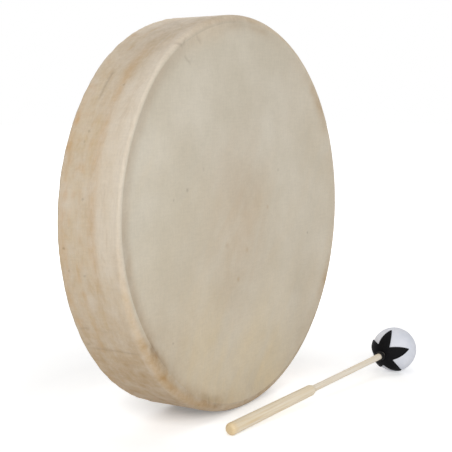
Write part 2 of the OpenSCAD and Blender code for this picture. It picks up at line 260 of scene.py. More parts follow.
def laySpecks(add, base, place, look):
    reach = look["ragReachMm"] * mm
    rags = layPattern(add, place, look["ragMm"], {"Detail": 2.0})
    shift = add("VectorMath", {"operation": "MULTIPLY_ADD", 1: (reach, reach, reach)},
                {0: rags.outputs["Color"], 2: place})
    for spots, hexColour in ((look["specks"], look["soil"]), (look["yellowSpecks"], look["stain"])):
        total = None
        for angle, r, depth, size, strength in spots:
            spot = drumPoint(radians(angle), r, depth) + Vector((reach, reach, reach)) / 2
            gap = add("VectorMath", {"operation": "DISTANCE", 1: spot}, {0: shift})
            core = size * look["speckCore"]
            dot = add("MapRange", {"span": (size * mm, core * mm, 0, strength)}, {"Value": gap})
            total = add("Math", {"operation": "ADD"}, {0: total, 1: dot}) if total else dot
        base = add("Mix", {"data_type": "RGBA", mixOver: hexColour}, {mixAmount: total, mixUnder: base})
    return base


def layScratches(add, base, place, look, layers):
    # runs of stain and thin scratches along the side
    for (along, across), span, key in ((look["runMm"], (0.5, 0.75, 0, 0.2), "stain"),
                                       (look["scratchMm"], (0.74, 0.82, 0, 0.55), "soil")):
        scratch = layPattern(add, place, (along, across, along),
                             {"Detail": 3.0, "Roughness": 0.7, "Distortion": 0.6})
        spread = add("MapRange", {"span": span}, {"Value": scratch})
        base = layTint(add, base, layers["wall"], spread, look[key])
    return base


def layFibres(add, base, place, look):
    # fibres that lie every way, drawn coarser than the real ones so that they show at this size
    along, across = look["fibreMm"]
    fibres = None
    for sizes in ((along, across, across), (across, along, across), (across, across, along)):
        fibre = layPattern(add, place, sizes, {"Detail": 2.0})
        fibres = add("Math", {"operation": "ADD"}, {0: fibres, 1: fibre}) if fibres else fibre
    tone = add("MapRange", {"span": (1.2, 1.8, 0.967, 1.033)}, {"Value": fibres})
    return add("VectorMath", {"operation": "SCALE"}, {"Vector": base, "Scale": tone})


def makeRawhide(look):
    material, add, place = startMaterial("goatRawhide")
    layers = {key: add("Attribute", {"attribute_name": key}).outputs["Fac"] for key in skinLayers}
    mottle = layPattern(add, place, look["mottleMm"], {"Detail": 4.0, "Roughness": 0.5})
    along, across = look["wispMm"]
    wisp = layPattern(add, place, (along, across, along),
                      {"Detail": 7.0, "Roughness": 0.7, "Distortion": 0.5})
    blotch = layPattern(add, place, look["blotchMm"], {"Detail": 6.0, "Roughness": 0.68})
    base = add("Mix", {"data_type": "RGBA"},
               {mixAmount: layers["wall"], mixUnder: faceColour(add, place, look, layers, mottle),
                mixOver: sideColour(add, look, layers, wisp, blotch)})
    # stains, dirt and painted shade, broken up by blotches and small flecks
    fleck = layPattern(add, place, look["fleckMm"], {"Detail": 3.0})
    uneven = add("Math", {"operation": "MULTIPLY_ADD", 1: look["fleckShare"]}, {0: fleck, 2: blotch})
    broken = add("MapRange", {"span": (0.48, 0.84, 0.6, 1.15)}, {"Value": uneven})
    for key in ("stain", "soil"):
        base = layTint(add, base, layers[key], broken, look[key])
    base = laySpecks(add, base, place, look)
    base = layScratches(add, base, place, look, layers)
    colour = layFibres(add, base, place, look)
    pore = layPattern(add, place, look["poreMm"], {"Detail": 3.0})
    rise = add("Math", {"operation": "MULTIPLY_ADD", 1: look["poreShare"]}, {0: pore, 2: wisp})
    bump = add("Bump", {"Strength": 0.14, "Distance": 0.6 * mm}, {"Height": rise})
    rough = add("MapRange", {"span": (0, 1, 0.52, 0.74)}, {"Value": mottle})
    shader = add("BsdfPrincipled", {"IOR": 1.48, "Specular IOR Level": 0.4},
                 {"Base Color": colour, "Roughness": rough, "Normal": bump})
    add("OutputMaterial", links={"Surface": shader})
    return material


rawhide = makeRawhide(rawhideLook)

# the skin, in millimetres; every angle is in degrees from the right side going up
skin = {
    "columns": 800, "thickness": 1.0,
    # rows of points on each part of the section, from the middle of the face to the back
    "rows": {"flat": 30, "hollow": 10, "inner": 4, "crest": 3, "bead": 10, "side": 28, "backBend": 5,
             "edge": 3},
    # the bead at the front edge: its radius where soft and where sharp, and on its inner side, least flat top
    "beadRadius": (7.5, 3.2), "innerBead": 3.0, "leastCrest": 0.1,
    # where it is sharp, where its crest is flat and how wide, where it is steep: angle, spread, amount
    "sharp": [(176, 22, 0.8), (140, 26, 1.0)], "flatCrest": (224, 22, 4.5), "steep": (88, 24, 1.0),
    # how far back the face lies, and the slope down to it at the upper left, the lower left and the right
    "dip": 2.2, "slope": (9.0, 11.5, 6.0),
    # the turned-in edge: its bend, radii of its rows, least radius, circle of a scallop, how it wanders
    "backEdge": 3.0, "backRows": [192, 187, 182, 178.75, 176.5, 174.25, 172, 169.75, 167.5], "turnIn": 158.0,
    "scallopCentre": 124.0, "scallopRadius": 40.0, "wander": 0.6,
    # the holes for the lacing: how many, where, and how many rows and columns each takes up either way
    "holes": 16, "holeAt": 172.0, "holeRadius": 2.1, "holeReach": 2,
    "holePaint": (0.6, 0.35, 0.8, 0.0, 0.0, 0.0),    # layers at a hole's edge
    # unevenness: slow waves and pleats on each part, and crinkles on the rim as angle, spread, amount
    "wave": {"wall": 0.3, "rim": 0.25}, "pleat": {"wall": 0.5, "back": 0.9, "rim": 0.1, "face": 0.06},
    "crinkle": (236, 24, 0.3),
    # where the hoop is out of round: angle, spread, amount
    "swell": [(226, 17, 1.4), (128, 14, 1.3), (50, 28, 0.8)],
    # folds: angle, distance out from the crest, angle from the rim, half length, half width, depth
    "folds": [(121, 3, 50, 7, 1.5, 0.45), (118.5, 1, -35, 6, 1.4, 0.38), (112, -5, 60, 6, 1.5, 0.36),
              (119.3, -15, 50, 7, 1.5, 0.55), (117.4, -17.5, 20, 3, 1.4, 0.3), (212.8, 44, 90, 36, 1.1, 0.5),
              (206, 69, 82, 8, 1.5, 0.5), (211.6, 73, 68, 5, 1.5, 0.45), (206, 38, 80, 14, 1.4, 0.24),
              (218, 26, 97, 18, 1.4, 0.24), (248, 0, 70, 7, 1.5, 0.35), (251.5, 1, 95, 7, 1.4, 0.3),
              (255, 0, 110, 6, 1.4, 0.25), (150, 40, 12, 14, 1.2, 0.2), (137.8, 54.4, 2, 21, 1.5, 0.7)],
    # how far from its middle a fold can reach, and how much and how quickly its line wanders
    "foldReach": 40, "foldWander": (0.8, 6)}


def angleApart(a, b):
    return (a - b + 180) % 360 - 180


def hump(x, spread):
    return exp(-(x / spread) ** 2)


def zoneAt(degrees, zone):
    at, spread, amount = zone
    return amount * hump(angleApart(degrees, at), spread)


def crestShape(degrees):
    # the front edge is sharp on the upper left and rounder, with a flat crest, on the lower left
    sharp = min(sum(zoneAt(degrees, zone) for zone in skin["sharp"]), 1.0)
    wide, small = skin["beadRadius"]
    bead = wide - (wide - small) * sharp
    crest = drum["radius"] - bead
    innerCrest = crest - skin["leastCrest"] - zoneAt(degrees, skin["flatCrest"])
    return bead, crest, innerCrest, max(sharp, zoneAt(degrees, skin["steep"]))


def turnedEdge(angle):
    # radius of the skin's edge on the back, cut in scallops between the holes
    half = pi / skin["holes"]
    off = (angle + half) % (2 * half) - half    # angle from the middle of the nearest scallop
    centre = skin["scallopCentre"]
    inside = skin["scallopRadius"] ** 2 - (centre * sin(off)) ** 2
    cut = centre * cos(off) + sqrt(inside) if inside > 0 else 0
    uneven = noise((9 * cos(angle), 9 * sin(angle), 3.1))
    return max(skin["turnIn"], cut) + skin["wander"] * uneven


def evenSteps(whole, count):
    return [whole * k / count for k in range(count + 1)]


def skinOutline(angle):
    # the section at this angle as radius, depth and part, from the middle of the face to the turned-in edge
    count, outside, depth = skin["rows"], drum["radius"], drum["depth"]
    bead, crest, innerCrest, steep = crestShape(math.degrees(angle))
    upper, lower, right = skin["slope"]
    slope = lower - (lower - upper) * steep
    slope = radians(slope + (right - slope) * fade(cos(angle), -0.25, 0.45))
    inner, dip = skin["innerBead"], skin["dip"]
    both = dip / (1 - cos(slope))
    hollow = both - inner
    flatEdge = innerCrest - both * sin(slope)
    run = [(r, dip, "face") for r in evenSteps(flatEdge, count["flat"])[1:]]
    run += [(flatEdge + hollow * sin(a), dip - hollow + hollow * cos(a), "face")
            for a in evenSteps(slope, count["hollow"])[1:]]
    run += [(innerCrest - inner * sin(a), inner - inner * cos(a), "rim")
            for a in reversed(evenSteps(slope, count["inner"])[:-1])]
    run += [(innerCrest + w, 0, "rim") for w in evenSteps(crest - innerCrest, count["crest"])[1:-1]]
    run += [(crest + bead * sin(a), bead - bead * cos(a), "rim")
            for a in evenSteps(pi / 2, count["bead"])]
    bend = skin["backEdge"]
    wallEnd = depth - bend
    run += [(outside, bead + d, "wall") for d in evenSteps(wallEnd - bead, count["side"])[1:-1]]
    run += [(outside - bend + bend * cos(a), wallEnd + bend * sin(a), "wall")
            for a in evenSteps(pi / 2, count["backBend"])]
    lastRow = skin["backRows"][-1]
    run += [(r, depth, "back") for r in skin["backRows"]]
    run += [(lastRow + d, depth, "back") for d in evenSteps(turnedEdge(angle) - lastRow, count["edge"])[1:]]
    return run, crest


def foldDepth(degrees, along):
    # along is the distance out from the crest, over the surface
    far = skin["foldReach"]
    stray, quick = skin["foldWander"]
    deep = 0.0
    for at, start, lean, half, width, sink in skin["folds"]:
        a = radians(angleApart(degrees, at)) * drum["radius"]
        b = along - start
        if abs(a) > far or abs(b) > far:
            continue
        g = radians(lean)
        u = a * cos(g) + b * sin(g)
        v = b * cos(g) - a * sin(g) + stray * noise((u / quick, at, 0.0))
        deep += sink * hump(v, width) * fade(abs(u), half, half * 0.6)
    return deep


def wobble(angle, r, depth, part, crest):
    # unevenness of a hand-pulled skin: how far a point goes out, how far back, and how deep a fold is there
    c, s, degrees = cos(angle), sin(angle), math.degrees(angle)
    along = r - crest + depth
    slow = noise((3.2 * c, 3.2 * s, depth / 40))
    pleat = skin["pleat"][part] * noise((26 * c, 26 * s, depth / 90))
    out = sum(zoneAt(degrees, zone) for zone in skin["swell"]) * fade(r, 150, 190)
    fold = 0.0 if part == "back" else foldDepth(degrees, along)
    deep = 0.0
    if part == "wall":
        out += skin["wave"][part] * slow * fade(depth, 8, 20) + pleat * fade(depth, 35, 73) - fold
    elif part == "back":
        deep = max(0, pleat + 0.09) * fade(r, 198, 192) * fade(r, 174, 186)
    elif part == "rim":
        front = fade(depth, 6, 0)
        out += (skin["wave"][part] * slow - fold) * (1 - front)
        crinkle = zoneAt(degrees, skin["crinkle"]) * noise((40 * c, 40 * s, along / 5))
        deep = (pleat + crinkle + fold) * front
    else:
        deep = fold + pleat * fade(r, 170, 188)
    return out, deep, fold


# what the years left on the skin, with painted shade and highlight where noted; a zone is angle, spread,
# amount, and a spot is angle, spread, distance out from the crest, its spread, amount; a cloud on the face is
# right, up, spread across, spread up, amount
marks = {
    "rimStains": [(216, 5, -3, 4, 0.36), (225, 12, 3, 8, 0.42), (244, 9, 3, 8, 0.36), (254, 8, 0, 5, 0.22),
                  (213, 8, 6, 8, 0.34), (94, 8, -3, 3, 0.16), (79, 5, -3, 3.5, 0.34), (34, 9, -2, 5, 0.45),
                  (330, 9, -1, 5, 0.4), (188, 8, 9, 6, 0.2), (185, 7, -7, 4.5, 0.16)],
    # dark stains on the rim; the wide one at 166 degrees is painted shade that tones down the bead's
    # highlight on the left
    "rimSoilAndShade": [(213.5, 2.0, -3, 2.6, 0.5), (218, 3.5, -5, 2.6, 0.24), (247, 6, -5, 2.6, 0.2),
                (252, 2, 1, 2.6, 0.2), (92, 14, 2, 8, 0.13), (166, 32, 2.6, 3.4, 0.15)],
    # the first number here darkens each fold along its groove, which is painted shade
    "foldShade": 0.42, "back": (0.3, 0.1, 0.8, 0.3),    # the turned-in edge: stain, soil, wall, pale
    # where the face runs on into the side with no line, and where its edge has no painted shade
    "merged": (106, 12, 0.52), "unshadedEdge": (106, 14, 0.9), "mergedPale": 0.5,
    # the face
    "stainClouds": [(10, 5, 36, 60, 0.2), (-18, -70, 26, 50, 0.14)], "evenCloud": (-95, -85, 60, 60, 0.07),
    "warmCloud": (-8, -15, 66, 85, 0.5), "evenWarm": 0.04, "rightWarm": 0.1, "rightStain": 0.03,
    "footStain": 0.1, "footStraw": 0.3, "evenStraw": 0.06, "lowerLeftStain": (215, 20, 0.1),
    # its edge: a darker, browner band just inside the bead is painted shade of the hollow there, heavier on
    # the left; amount all round, and what the left side adds, and a painted shade line close inside the crest
    # on the lower left
    "edgeWarm": (0.15, 0.35), "edgeShade": (0.03, 0.11), "innerShade": (205, 22, -4, 3.5, 0.12),
    # the side: rusty rings as depth, width, first and last angle, amount, and small patches near the back
    "rings": [(31, 5.0, 122, 190, 0.36), (67, 4.5, 138, 198, 0.24)], "rustPatches": 0.55,
    # the amount after lowSide makes the side darker towards the bottom
    "evenSide": 0.04, "lowerSide": 0.05, "lowSide": 0.52, "lowDarkening": 0.12, "cleanSide": (198, 9, 0.07),
    # it is pale down to this depth, but less towards the top, and palest close behind the front edge, which
    # is a painted highlight of the bead
    "paleDepth": 28.5, "pale": 0.9, "frontHighlight": 0.32, "lessPale": (108, 13, 0.7),
    "paleSpot": (171, 4, 58, 7, 0.5),
    # and greyer and darker at the top, which is painted shade
    "top": (108, 27, 34, 42, 1.0), "topPale": 0.32, "topShade": 0.38}


def spotAt(degrees, along, spot):
    at, spread, start, width, amount = spot
    return zoneAt(degrees, (at, spread, amount)) * hump(along - start, width)


def cloudAt(x, z, cloud):
    right, up, wide, high, amount = cloud
    return amount * hump(x - right, wide) * hump(z - up, high)


def paintFace(degrees, c, s, r, crest, along, rough, low):
    m, x, z = marks, r * c, r * s
    left = fade(-c, -0.2, 0.5)
    foot = low * fade(r, 60, 180)
    edge = fade(r, crest - 19, crest - 3) * (1 - zoneAt(degrees, m["unshadedEdge"]))
    stain = (0.3 + rough) * sum(cloudAt(x, z, cloud) for cloud in m["stainClouds"])
    stain += cloudAt(x, z, m["evenCloud"])
    stain += m["footStain"] * foot * (0.4 + 0.8 * rough) + m["rightStain"] * fade(x, 40, 140)
    stain += zoneAt(degrees, m["lowerLeftStain"]) * fade(r, 130, 180)
    allRound, more = m["edgeShade"]
    # painted shade: the band just inside the bead is darkened, more on the left, with a line close inside the
    # crest on the lower left
    soil = (allRound + more * left) * edge * 0.6 * (1 + rough) + spotAt(degrees, along, m["innerShade"])
    wall = zoneAt(degrees, m["merged"]) * fade(r, crest - 24, crest - 2)
    allRound, more = m["edgeWarm"]
    warm = m["evenWarm"] + cloudAt(x, z, m["warmCloud"]) + m["rightWarm"] * fade(x, 50, 150)
    # painted shade: the same band is also tinted warmer and darker, more on the left
    warm += (allRound + more * left) * edge
    straw = m["footStraw"] * foot * fade(x, 110, 30) * fade(x, -150, -60)
    straw += m["evenStraw"] * fade(s, 0.9, 0.3)
    return stain, soil, wall, m["mergedPale"], warm, straw


def paintSide(degrees, c, s, r, crest, along, rough, low, depth, part):
    m = marks
    sway = 1.8 * noise((5 * c, 5 * s, 7.7))
    lower = fade(degrees, 184, 196)
    top = spotAt(degrees, along, m["top"])
    warm = 0.0
    for middle, width, first, last, amount in m["rings"]:
        reach = fade(degrees, first - 8, first + 8) * fade(degrees, last + 10, last - 10)
        warm += amount * reach * hump(depth - middle - sway, width) * (0.35 + rough)
    patch = max(0, noise((r * c / 11, r * s / 11, depth / 6)) - 0.04)
    warm += m["rustPatches"] * patch * fade(depth, 36, 50) * fade(c, 0.0, -0.5)
    stain = m["evenSide"] * (0.2 + rough) + m["lowerSide"] * lower * (1 - low)
    stain += m["lowSide"] * low * (0.3 + rough) * (0.6 + 0.4 * fade(depth, 2, 14))
    stain -= zoneAt(degrees, m["cleanSide"]) * fade(depth, 34, 8)
    # painted shade makes the top of the side greyer and darker; the side is also darker towards the bottom
    soil = m["lowDarkening"] * fade(-s, 0.35, 1.0) + m["topShade"] * top
    paleEnd = max(m["paleDepth"] - 0.009 * max(0, 160 - degrees) ** 2 + sway, 3)
    # painted highlight: palest close behind the front edge, where the bead rounds over
    pale = m["pale"] - m["frontHighlight"] * fade(depth, 5, 16)
    pale *= fade(depth, paleEnd + 4, paleEnd - 6)
    pale *= (1 - 0.8 * lower) * fade(c, 0.1, -0.35) * (1 - zoneAt(degrees, m["lessPale"]))
    pale += spotAt(degrees, depth, m["paleSpot"]) + m["topPale"] * top
    wall = 1.0
    if part == "rim":
        wall = max(zoneAt(degrees, m["merged"]), fade(r, crest - 2, crest + 4))
    return stain, soil, wall, pale, warm, 0.0


def paintSkin(angle, r, depth, part, crest, fold):
    # the layers at one point, in the order of skinLayers
    degrees, c, s = math.degrees(angle) % 360, cos(angle), sin(angle)
    rough = 0.5 + 0.5 * noise((r * c / 14, r * s / 14, depth / 9))
    if part == "back":
        stain, soil, wall, pale = marks["back"]
        return stain * rough, soil * rough, wall, pale, 0.0, 0.0
    along = r - crest + depth
    low = fade(-s, 0.12, 0.78)
    here = degrees, c, s, r, crest, along, rough, low
    layers = list(paintFace(*here) if part == "face" else paintSide(*here, depth, part))
    for index, key in enumerate(("rimStains", "rimSoilAndShade")):
        # stains and soil on the rim, and painted shade on the bead's crest on the left
        layers[index] += (0.45 + rough) * sum(spotAt(degrees, along, spot) for spot in marks[key])
    # painted shade: each fold is darkened along its groove
    layers[skinLayers.index("soil")] += marks["foldShade"] * fold
    return [min(max(amount, 0.0), 1.0) for amount in layers]


def layColumns():
    # one section after another round the drum, its outer and its inner points
    points, paint, outer, inner = [], [], [], []
    for j in range(skin["columns"]):
        angle = tau * j / skin["columns"]
        run, crest = skinOutline(angle)
        moved, tones = [], []
        for r, depth, part in run:
            out, deep, fold = wobble(angle, r, depth, part, crest)
            moved.append((r + out, depth + deep))
            tones.append(paintSkin(angle, r, depth, part, crest, fold))
        outer.append([])
        inner.append([])
        for k, (r, depth) in enumerate(moved):
            r0, d0 = moved[max(k - 1, 0)]
            r1, d1 = moved[min(k + 1, len(moved) - 1)]
            thick = skin["thickness"] / hypot(r1 - r0, d1 - d0)
            inside = r - (d1 - d0) * thick, depth + (r1 - r0) * thick
            for column, place in ((outer[-1], (r, depth)), (inner[-1], inside)):
                spot = drumPoint(angle, *place)
                spot.z = max(spot.z, 0.0)    # the flat on which the drum stands
                column.append(len(points))
                points.append(spot)
                paint.append(tones[k])
    return points, paint, outer, inner


def buildSkin():
    n, reach = skin["columns"], skin["holeReach"]
    points, paint, outer, inner = layColumns()
    faces = []
    rows = len(outer[0])
    holeRow = [r for r, depth, part in skinOutline(0)[0]].index(skin["holeAt"])
    step = n // skin["holes"]
    holeColumns = [step // 2 + step * k for k in range(skin["holes"])]
    nearHole = range(holeRow - reach, holeRow + reach)
    left = {(j % n, k) for c in holeColumns for j in range(c - reach, c + reach) for k in nearHole}
    for j in range(n):
        q = (j + 1) % n
        for k in range(rows - 1):
            if (j, k) not in left:
                faces.append((outer[j][k], outer[j][k + 1], outer[q][k + 1], outer[q][k]))
                faces.append((inner[j][k], inner[q][k], inner[q][k + 1], inner[j][k + 1]))
        faces.append((outer[j][-1], inner[j][-1], inner[q][-1], outer[q][-1]))
    for column, back in ((outer, 0), (inner, skin["thickness"])):
        centre = len(points)
        points.append(drumPoint(0, 0, skin["dip"] + back))
        paint.append(paint[outer[0][0]])
        for j in range(n):
            a, b = column[j][0], column[(j + 1) % n][0]
            faces.append((centre, b, a) if back else (centre, a, b))
    # lace holes, each a ring set into what was left open in the grid
    for c in holeColumns:
        loop = [(c + a * k + b * reach, holeRow + b * k - a * reach)
                for a, b in ((1, 0), (0, 1), (-1, 0), (0, -1)) for k in range(-reach, reach)]
        rings = []
        for column in (outer, inner):
            middle = points[column[c % n][holeRow]].copy()
            rings.append([])
            for j, k in loop:
                away = (points[column[j % n][k]] - middle).normalized()
                rings[-1].append(len(points))
                points.append(middle + away * skin["holeRadius"] * mm)
                paint.append(skin["holePaint"])
        for i in range(len(loop)):
            h = (i + 1) % len(loop)
            (j0, k0), (j1, k1) = loop[i], loop[h]
            faces.append((outer[j0 % n][k0], rings[0][i], rings[0][h], outer[j1 % n][k1]))
            faces.append((inner[j0 % n][k0], inner[j1 % n][k1], rings[1][h], rings[1][i]))
            faces.append((rings[0][i], rings[1][i], rings[1][h], rings[0][h]))
    return (points, faces), paint


skinShape, skinPaint = buildSkin()
drumSkin = makePiece("drumSkin", skinShape, tuple, "drum", rawhide)
for index, key in enumerate(skinLayers):
    layer = drumSkin.data.attributes.new(key, "FLOAT", "POINT")
    layer.data.foreach_set("value", [p[index] for p in skinPaint])
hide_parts("drum_head")
print("skin built", len(skinPaint))


def roundedPath(corners):
    # each corner is its place, the radius of its bend and the steps in it
    path = [corners[0][0]]
    for (before, *_), (spot, radius, steps), (after, *_) in zip(corners, corners[1:], corners[2:]):
        a, b = (spot - before).normalized(), (after - spot).normalized()
        half = acos(max(-1, min(1, a.dot(b)))) / 2
        inward, along = (b - a).normalized(), (a + b).normalized()
        middle = spot + inward * radius / cos(half)
        turns = [half * (2 * i / steps - 1) for i in range(steps + 1)]
        path += [middle + radius * (along * sin(g) - inward * cos(g)) for g in turns]
    return path + [corners[-1][0]]


def evenPath(path, step):
    out = []
    for a, b in zip(path, path[1:]):
        count = max(1, round((b - a).length / step))
        out += [a + (b - a) * k / count for k in range(count)]
    return out + [path[-1]]


def sweep(path, outlines):
    # outlines has, for each point of the path, its offsets to the side and up
    points, last = [], len(path) - 1
    side = Vector((0.3, 0.5, 0.8))    # a direction that no path here starts along
    for i, spot in enumerate(path):
        ahead = (path[min(i + 1, last)] - path[max(i - 1, 0)]).normalized()
        side = (side - ahead * side.dot(ahead)).normalized()
        up = ahead.cross(side)
        points += [spot + side * u + up * v for u, v in outlines[i]]
    n = len(outlines[0])
    ends = [tuple(range(n - 1, -1, -1)), tuple(range(last * n, (last + 1) * n))]
    return points, gridFaces(len(path), n) + ends


# rawhide thong: the same skin cut in a strip, twisted wet and dried hard, amber-cream with dark fibres
thongLook = {"toneMm": 18, "tone": {"Detail": 4.0}, "ramp": [(0.35, "#d8c6a2"), (0.72, "#a67f4d")],
             "line": (1.2, {"Detail": 3.0}, (0.55, 0.8, 0, 0.5), "#8f6a3c"),
             "grain": ("TexNoise", 1.2, {"Detail": 3.0}), "bump": (0.3, 0.4),
             "shader": {"IOR": 1.48, "Roughness": 0.48}}
thong = makeSurface("rawhideThong", thongLook)

# one thong of the lacing, in millimetres, by the same route as its solid
lacing = {
    "diameter": 3.2, "strandGap": 0.6, "ringRadius": 24.0, "wire": 6.0, "wirePlay": 0.5,
    # bends at the holes and where the strands fan out, and the share of its room that each takes
    "bend": 2.4, "holeShare": 0.96, "ringShare": 0.98, "fanBend": 10.0, "fanShare": 0.55, "fanClear": 0.5,
    # how the strands spread to pass the ring, the gap between the two ends, and the step along the path
    "easeInset": 2, "easeBend": 12, "buttGap": 1.5, "step": 2.2,
    # steps in the bends at the near strand, the holes, the far strand, the ease and the ring
    "nearSteps": 6, "holeSteps": 8, "farSteps": 10, "easeSteps": 3, "ringSteps": 12,
    # the strip's half width and half thickness, points round it, how square it is, its twist and swell
    "wide": 1.75, "thick": 1.4, "sides": 12, "square": 0.8, "twist": 1.4, "swell": 0.07, "seed": 11.3}

# the strip wound round each arm, in millimetres
grip = {"turns": 4, "width": 7.5, "gap": 0.6, "thickness": 1.4, "setback": 15.0, "play": 0.3, "perTurn": 40,
        # rounding of its inner and outer corners along and out, its crown, how it wanders and lifts
        "innerRound": (0.5, 0.25), "outerRound": (0.55, 0.45), "crown": 0.05, "wander": 0.22, "lift": 0.12,
        "seed": 3.7}

offset = (lacing["diameter"] + lacing["strandGap"]) / 2
skinMiddle = drum["depth"] - skin["thickness"] / 2
strandIn, bridgeOut = skinMiddle - lacing["bend"], skinMiddle + lacing["bend"]
armDepth = strandIn - offset
wrapPitch = grip["width"] + grip["gap"]
wrapStart = lacing["ringRadius"] + grip["setback"]
wrapLength = grip["turns"] * wrapPitch + grip["width"]
wrapInner = offset * sqrt(2) + lacing["diameter"] / 2 + grip["play"]
fanAt = wrapStart + wrapLength + lacing["fanBend"] * lacing["fanShare"] + lacing["fanClear"]
buttAt = wrapStart + wrapLength / 2


def lacePath(side):
    # each point is out from the centre, depth, sideways
    c, ring = lacing, lacing["ringRadius"]
    half = pi / skin["holes"]
    (nearOut, nearSide), (farOut, farSide) = [
        (skin["holeAt"] * cos(a), side * skin["holeAt"] * sin(a)) for a in (half, 3 * half)]
    v, upper, lower = side * offset, armDepth + offset, armDepth - offset
    loop = c["wire"] / 2 + c["wirePlay"] + c["diameter"] / 2
    hole = (c["bend"] * c["holeShare"], c["holeSteps"])
    ease = (c["easeBend"], c["easeSteps"])
    turn = (loop * c["ringShare"], c["ringSteps"])
    easeIn, easeOut = wrapStart - c["easeInset"], ring + c["easeInset"]
    corners = [((buttAt + c["buttGap"], upper, v), 0, 0), ((fanAt, upper, v), c["fanBend"], c["nearSteps"]),
               ((nearOut, strandIn, nearSide), *hole), ((nearOut, bridgeOut, nearSide), *hole),
               ((farOut, bridgeOut, farSide), *hole), ((farOut, strandIn, farSide), *hole),
               ((fanAt, lower, v), c["fanBend"], c["farSteps"]), ((easeIn, lower, v), *ease),
               ((easeOut, armDepth - loop, v), *ease), ((ring - loop, armDepth - loop, v), *turn),
               ((ring - loop, armDepth + loop, v), *turn), ((easeOut, armDepth + loop, v), *ease),
               ((easeIn, upper, v), *ease), ((buttAt, upper, v), 0, 0)]
    return evenPath(roundedPath([(Vector(p), radius, steps) for p, radius, steps in corners]), c["step"])


def thongSection(spot, seed):
    # a hand-cut strip, here and there twisted and thicker
    turn = lacing["twist"] * noise((spot[0] / 30, spot[2] / 30, seed))
    swell = 1 + lacing["swell"] * noise((spot[0] / 7, spot[2] / 7, seed + spot[1] / 7))
    out = []
    for g in evenSteps(tau, lacing["sides"])[:-1]:
        u = lacing["wide"] * swell * copysign(abs(cos(g)) ** lacing["square"], cos(g))
        w = lacing["thick"] * swell * copysign(abs(sin(g)) ** lacing["square"], sin(g))
        out.append((u * cos(turn) - w * sin(turn), u * sin(turn) + w * cos(turn)))
    return out


def armPoint(arm, p):
    # p is out from the centre, depth, sideways
    c, s = cos(radians(arm * 90)), sin(radians(arm * 90))
    return drumPlace(p[0] * c - p[2] * s, p[1], p[0] * s + p[2] * c)


for number in range(8):
    arm, sideSign = number // 2, 1 - 2 * (number % 2)
    path = lacePath(sideSign)
    strip = sweep(path, [thongSection(spot, lacing["seed"] * number) for spot in path])
    piece = makePiece(f"laceThong{number + 1}", strip, partial(armPoint, arm), "drum", thong, 60)
    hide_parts(f"lace_{number + 1}")
print("lacing strung")


# soft cowhide strip: vegetable tanned, brown, with paler and smoother patches where hands rubbed it
strapLook = {"toneMm": 12, "tone": {"Detail": 5.0, "Roughness": 0.6},
             "ramp": [(0.3, "#5f4329"), (0.75, "#b08c61"), (0.52, "#8a6742")],
             "grain": ("TexVoronoi", 1.4, {}), "bump": (0.35, 0.3), "rough": (0.75, 0.5),
             "shader": {"IOR": 1.48}}
strap = makeSurface("vegTannedStrap", strapLook)


def wrapMesh(seed):
    # a strip of rounded section wound along the arm
    w, t, crown, perTurn = grip["width"] / 2, grip["thickness"], grip["crown"], grip["perTurn"]
    (inX, inY), (outX, outY) = grip["innerRound"], grip["outerRound"]
    outline = [(-w, inY), (inX - w, 0), (0, 0), (w - inX, 0), (w, inY), (w, t - outY), (w - outX, t - crown),
               (w / 2, t), (0, t + crown), (-w / 2, t), (outX - w, t - crown), (-w, t - outY)]
    steps, n = grip["turns"] * perTurn, len(outline)
    points = []
    for i in range(steps + 1):
        g = tau * i / perTurn
        middle = wrapStart + w + wrapPitch * i / perTurn + grip["wander"] * noise((i / 23, seed, 0.0))
        lift = wrapInner + grip["lift"] * noise((i / 9, seed, 5.0))
        for along, out in outline:
            r = lift + out
            points.append(Vector((middle + along, armDepth + r * cos(g), r * sin(g))))
    ends = [tuple(range(n)), tuple(range((steps + 1) * n - 1, steps * n - 1, -1))]
    return points, [(a, d, c, b) for a, b, c, d in gridFaces(steps + 1, n)] + ends


for arm in range(4):
    piece = makePiece(f"gripStrap{arm + 1}", wrapMesh(grip["seed"] * arm), partial(armPoint, arm), "drum",
                      strap, 50)
    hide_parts(f"grip_wrap_{arm + 1}")
print("grip wrapped")


# the beater rests on the edge of its handle's end and on its ball
restRun, restRise = beater["length"] - beater["handleEdge"], beater["handleEndRadius"] - beater["handleEdge"]
climb = (beater["ballRadius"] - beater["handleEdge"]) / hypot(restRun, restRise)
tilt = asin(climb) - atan2(restRise, restRun)
lieHeight = beater["handleEdge"] * (1 - sin(tilt)) + restRise * cos(tilt)
lieEuler = Euler((0, -tilt, radians(beater["heading"])), "XYZ")
lieStart = Vector((beater["endX"], beater["endY"], lieHeight))


def beaterPoint(p):
    # p is along the beater from the handle end, to its side, and up
    turned = Vector(p)
    turned.rotate(lieEuler)
    return (lieStart + turned) * mm


# birch dowel: turned and sanded, cream with fine straw-brown grain lines along it
birchLook = {"lie": (lieStart * mm, lieEuler), "toneMm": (60, 1.6, 1.6),
             "tone": {"Detail": 4.0, "Roughness": 0.55}, "ramp": [(0.42, "#e6dac4"), (0.72, "#dac5a0")],
             "line": ((90, 1.3, 1.3), {"Detail": 2.0}, (0.58, 0.74, 0, 0.36), "#b8935c"),
             "end": (9, 0.7, "#e6c893"), "bump": (0.12, 0.3), "shader": {"IOR": 1.5, "Roughness": 0.48}}
# the thin dowel of the shaft, from paler wood
dowelLook = {**birchLook, "toneMm": (60, 1.4, 1.4), "ramp": [(0.42, "#e9e0d0"), (0.72, "#ddccb0")],
             "line": ((90, 1.2, 1.2), {"Detail": 2.0}, (0.58, 0.74, 0, 0.36), "#c9ab7c"),
             "end": (9, 0.7, "#e9e0d0")}
